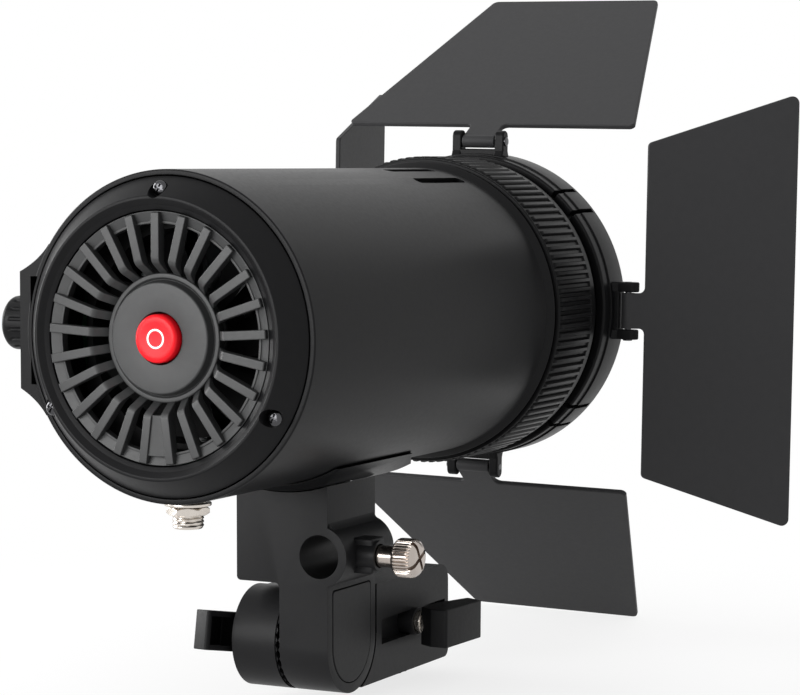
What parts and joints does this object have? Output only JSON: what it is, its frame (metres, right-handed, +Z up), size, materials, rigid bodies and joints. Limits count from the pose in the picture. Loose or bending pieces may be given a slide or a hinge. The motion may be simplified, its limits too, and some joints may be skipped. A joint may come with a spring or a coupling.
{
  "type": "led video light",
  "caption": "Barrel-shaped COB LED video light with focusing lens, finned rear grille, folding barn-door leaves and a tilting bracket that clamps on a light stand.",
  "frame": {"origin": "centre of the stand socket's mouth, at the bottom face of the receptacle block", "axes": "+Z up along the socket, +Y the way the light shines, +X to the right seen from behind"},
  "size_m": [0.1631, 0.2738, 0.2124],
  "materials": {
    "housing_abs": "satin black moulding",
    "grille_abs": "satin charcoal moulding",
    "ring_nylon": "satin black moulding",
    "bracket_nylon": "satin black glass-filled nylon",
    "lever_nylon": "fine-textured black nylon",
    "panel_acrylic": "gloss black",
    "display_glass": "clear over dark",
    "fan_plastic": "matte black",
    "leaf_metal": "matte black powder coat",
    "red_switch": "gloss red",
    "black_screw": "black oxide",
    "zinc_steel": "zinc plated",
    "nickel": "bright nickel",
    "brass": "turned",
    "aluminium": "bare",
    "circuit_board": "solder mask",
    "phosphor": "yellow phosphor gel",
    "reflector_metal": "vacuum metallised",
    "lens_glass": "polished"
  },
  "bodies": {
    "stand_block": {"stand_block": "bracket_nylon", "socket_collar": "bracket_nylon"},
    "clamp_shoe": {"clamp_shoe": "brass"},
    "clamp_lever": {"clamp_lever": "lever_nylon", "clamp_screw": "nickel"},
    "tilt_lever": {"tilt_lever": "lever_nylon", "tilt_bolt": "zinc_steel"},
    "head": {"head_bracket": "bracket_nylon", "ear_cover": "bracket_nylon", "tilt_nut": "zinc_steel", "foot_pad": "housing_abs", "barrel": "housing_abs", "control_plate": "panel_acrylic", "display_window": "display_glass", "rear_bezel": "housing_abs", "bezel_screw_1": "black_screw", "bezel_screw_2": "black_screw", "bezel_screw_3": "black_screw", "rear_grille": "grille_abs", "switch_body": "housing_abs", "fan_frame": "fan_plastic", "driver_board": "circuit_board", "heat_sink": "aluminium", "led_board": "aluminium", "led_chip": "phosphor", "reflector": "reflector_metal", "front_tube": "ring_nylon", "jack_body": "nickel", "jack_washer": "nickel", "jack_nut": "nickel"},
    "umbrella_pad": {"umbrella_pad": "brass"},
    "umbrella_screw": {"umbrella_screw": "nickel"},
    "power_button": {"power_button": "red_switch"},
    "panel_knob": {"panel_knob": "lever_nylon"},
    "mode_button": {"mode_button": "lever_nylon"},
    "fan_rotor": {"fan_rotor": "fan_plastic"},
    "focus_ring": {"focus_ring": "ring_nylon"},
    "lens_carrier": {"lens_carrier": "ring_nylon", "lens": "lens_glass"},
    "barn_ring": {"barn_ring": "ring_nylon", "hinge_pin_top": "zinc_steel", "hinge_pin_right": "zinc_steel", "hinge_pin_bottom": "zinc_steel", "hinge_pin_left": "zinc_steel"},
    "leaf_top": {"leaf_top": "leaf_metal"},
    "leaf_right": {"leaf_right": "leaf_metal"},
    "leaf_bottom": {"leaf_bottom": "leaf_metal"},
    "leaf_left": {"leaf_left": "leaf_metal"}
  },
  "joints": [
    {"name": "clamp_shoe_slide", "type": "slide", "parent": "stand_block", "child": "clamp_shoe", "axis": [-1, 0, 0], "range_m": [-0.0011, 0.0006]},
    {"name": "clamp_lever_turn", "type": "hinge", "parent": "clamp_shoe", "child": "clamp_lever", "pos_m": [0.0185, 0, 0.0142], "axis": [-1, 0, 0], "range_deg": [-360, 180]},
    {"name": "tilt_lever_turn", "type": "hinge", "parent": "stand_block", "child": "tilt_lever", "pos_m": [-0.0167, -0.0396, 0.0142], "axis": [1, 0, 0], "range_deg": [0, 180]},
    {"name": "head_tilt", "type": "hinge", "parent": "stand_block", "child": "head", "pos_m": [0, -0.0396, 0.0142], "axis": [1, 0, 0], "range_deg": [0, 120]},
    {"name": "umbrella_pad_slide", "type": "slide", "parent": "head", "child": "umbrella_pad", "axis": [-1, 0, 0], "range_m": [0, 0.0051]},
    {"name": "umbrella_screw_turn", "type": "hinge", "parent": "umbrella_pad", "child": "umbrella_screw", "pos_m": [0.0314, -0.0441, 0.04028], "axis": [-1, 0, 0], "range_deg": [0, 1800]},
    {"name": "power_button_press", "type": "slide", "parent": "head", "child": "power_button", "axis": [0, 1, 0], "range_m": [0, 0.0012], "stiffness_N_per_m": 400},
    {"name": "panel_knob_turn", "type": "hinge", "parent": "head", "child": "panel_knob", "pos_m": [-0.0457, -0.1, 0.1069], "axis": [-1, 0, 0], "continuous": true},
    {"name": "mode_button_press", "type": "slide", "parent": "head", "child": "mode_button", "axis": [1, 0, 0], "range_m": [0, 0.0006], "stiffness_N_per_m": 400},
    {"name": "fan_spin", "type": "hinge", "parent": "head", "child": "fan_rotor", "pos_m": [0, -0.1, 0.1052], "axis": [0, 1, 0], "continuous": true},
    {"name": "focus_turn", "type": "hinge", "parent": "head", "child": "focus_ring", "pos_m": [0, 0.048, 0.1052], "axis": [0, 1, 0], "range_deg": [-55, 55]},
    {"name": "lens_slide", "type": "slide", "parent": "head", "child": "lens_carrier", "axis": [0, 1, 0], "range_m": [-0.0091, 0.0091]},
    {"name": "barn_ring_turn", "type": "hinge", "parent": "head", "child": "barn_ring", "pos_m": [0, 0.075, 0.1052], "axis": [0, 1, 0], "continuous": true},
    {"name": "leaf_top_fold", "type": "hinge", "parent": "barn_ring", "child": "leaf_top", "pos_m": [0.00092, 0.0757, 0.15769], "axis": [0.9998, 0, -0.0175], "range_deg": [-60.7, 68.3]},
    {"name": "leaf_right_fold", "type": "hinge", "parent": "barn_ring", "child": "leaf_right", "pos_m": [0.05249, 0.0757, 0.10428], "axis": [0.0175, 0, 0.9998], "range_deg": [-43, 86]},
    {"name": "leaf_bottom_fold", "type": "hinge", "parent": "barn_ring", "child": "leaf_bottom", "pos_m": [-0.00092, 0.0757, 0.05271], "axis": [-0.9998, 0, 0.0175], "range_deg": [-67.5, 61.5]},
    {"name": "leaf_left_fold", "type": "hinge", "parent": "barn_ring", "child": "leaf_left", "pos_m": [-0.05249, 0.0757, 0.10612], "axis": [-0.0175, 0, -0.9998], "range_deg": [-91, 38]}
  ],
  "couplings": [
    {"joint": "clamp_shoe_slide", "follows": "clamp_lever_turn", "m_per_rad": 0.00015915},
    {"joint": "umbrella_pad_slide", "follows": "umbrella_screw_turn", "m_per_rad": 0.00015915},
    {"joint": "lens_slide", "follows": "focus_turn", "m_per_rad": 0.0093756}
  ]
}
